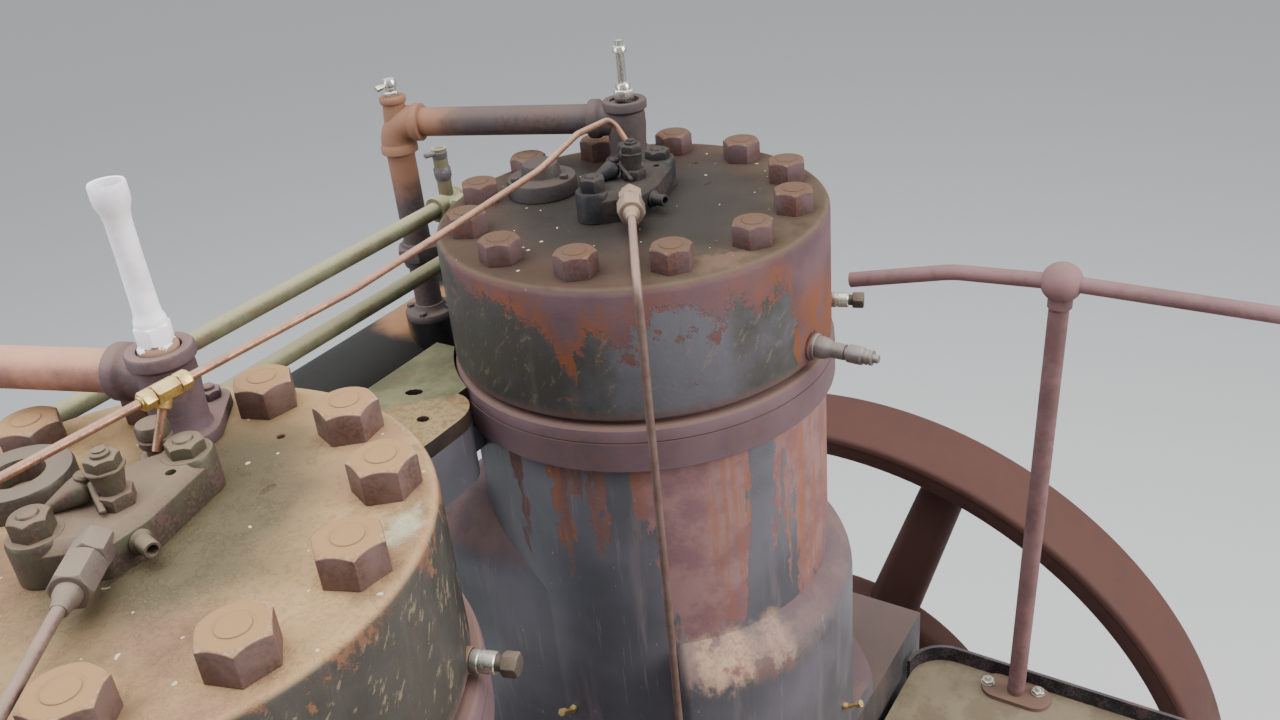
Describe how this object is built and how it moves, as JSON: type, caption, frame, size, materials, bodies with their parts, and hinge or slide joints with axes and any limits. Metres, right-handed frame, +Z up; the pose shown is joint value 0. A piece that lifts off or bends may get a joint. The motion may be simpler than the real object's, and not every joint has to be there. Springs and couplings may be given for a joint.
{
  "type": "stationary diesel engine",
  "caption": "Vertical two-stroke stationary diesel engine with drum heads, flywheel, pipework, foundation block and railed operator platform.",
  "frame": {"origin": "on the floor, below the middle of the two cylinders and on the crankshaft's centre plane", "axes": "+X along the crankshaft to the flywheel and the output shaft, +Y from the operator side to the exhaust side, +Z up"},
  "size_m": [2.721, 2.23, 3.095],
  "materials": {
    "concrete": "rough",
    "base_paint": "worn satin",
    "barrel_paint": "worn satin with rust streaks",
    "head_iron": "dusty rusted casting",
    "nut_iron": "dusty rusted steel",
    "ring_iron": "brown rust",
    "wheel_iron": "brown rust",
    "injector_iron": "oily grey",
    "pipe_rust": "pinkish brown rust",
    "pipe_green": "chalky grey green",
    "manifold_black": "sooty black",
    "copper": "dull",
    "brass": "bright",
    "line_steel": "brown oxidised",
    "nickel": "worn plating",
    "shaft_steel": "oiled",
    "white_paint": "brushed paint",
    "deck_steel": "oily speckled",
    "rim_paint": "chipped gloss",
    "rail_paint": "pinkish brown primer",
    "plate_iron": "dusty rust"
  },
  "bodies": {
    "engine": {"foundation_block": "concrete", "base_frame": "base_paint", "exhaust_manifold": "manifold_black", "upper_pipe": "pipe_green", "lower_pipe": "pipe_green", "leak_off_pipe": "copper", "leak_off_tee": "brass", "governor": "base_paint", "drive_end_cover": "base_paint", "free_end_cover": "base_paint", "start_valve_collar": "head_iron", "start_valve_cap": "injector_iron", "sight_tube": "white_paint", "glass_gauge": "nickel", "relief_cocks": "nickel", "side_nipples": "pipe_rust", "fuel_lines": "line_steel", "fuel_pumps": "injector_iron", "oil_fittings": "brass", "platform_deck": "deck_steel", "deck_rim": "rim_paint", "platform_beams": "base_paint", "platform_legs": "base_paint", "deck_brackets": "base_paint", "rail_post_inner": "rail_paint", "rail_posts_outer": "rail_paint", "handrail": "rail_paint", "crankcase_1": "base_paint", "crankcase_door_1": "base_paint", "air_valve_cover_1": "base_paint", "cylinder_1": "barrel_paint", "joint_ring_1": "ring_iron", "side_plate_1": "plate_iron", "cylinder_head_1": "head_iron", "head_nuts_1": "nut_iron", "injector_1": "injector_iron", "water_tee_1": "pipe_rust", "outlet_pipe_1": "pipe_rust", "exhaust_elbow_1": "manifold_black", "crankcase_2": "base_paint", "crankcase_door_2": "base_paint", "air_valve_cover_2": "base_paint", "cylinder_2": "barrel_paint", "joint_ring_2": "ring_iron", "side_plate_2": "plate_iron", "cylinder_head_2": "head_iron", "head_nuts_2": "nut_iron", "injector_2": "injector_iron", "water_tee_2": "pipe_rust", "outlet_pipe_2": "pipe_rust", "exhaust_elbow_2": "manifold_black"},
    "rotor": {"crankshaft": "shaft_steel", "flywheel": "wheel_iron"}
  },
  "joints": [
    {"name": "flywheel_spin", "type": "hinge", "parent": "engine", "child": "rotor", "pos_m": [1, 0, 1.019], "axis": [1, 0, 0], "continuous": true}
  ]
}
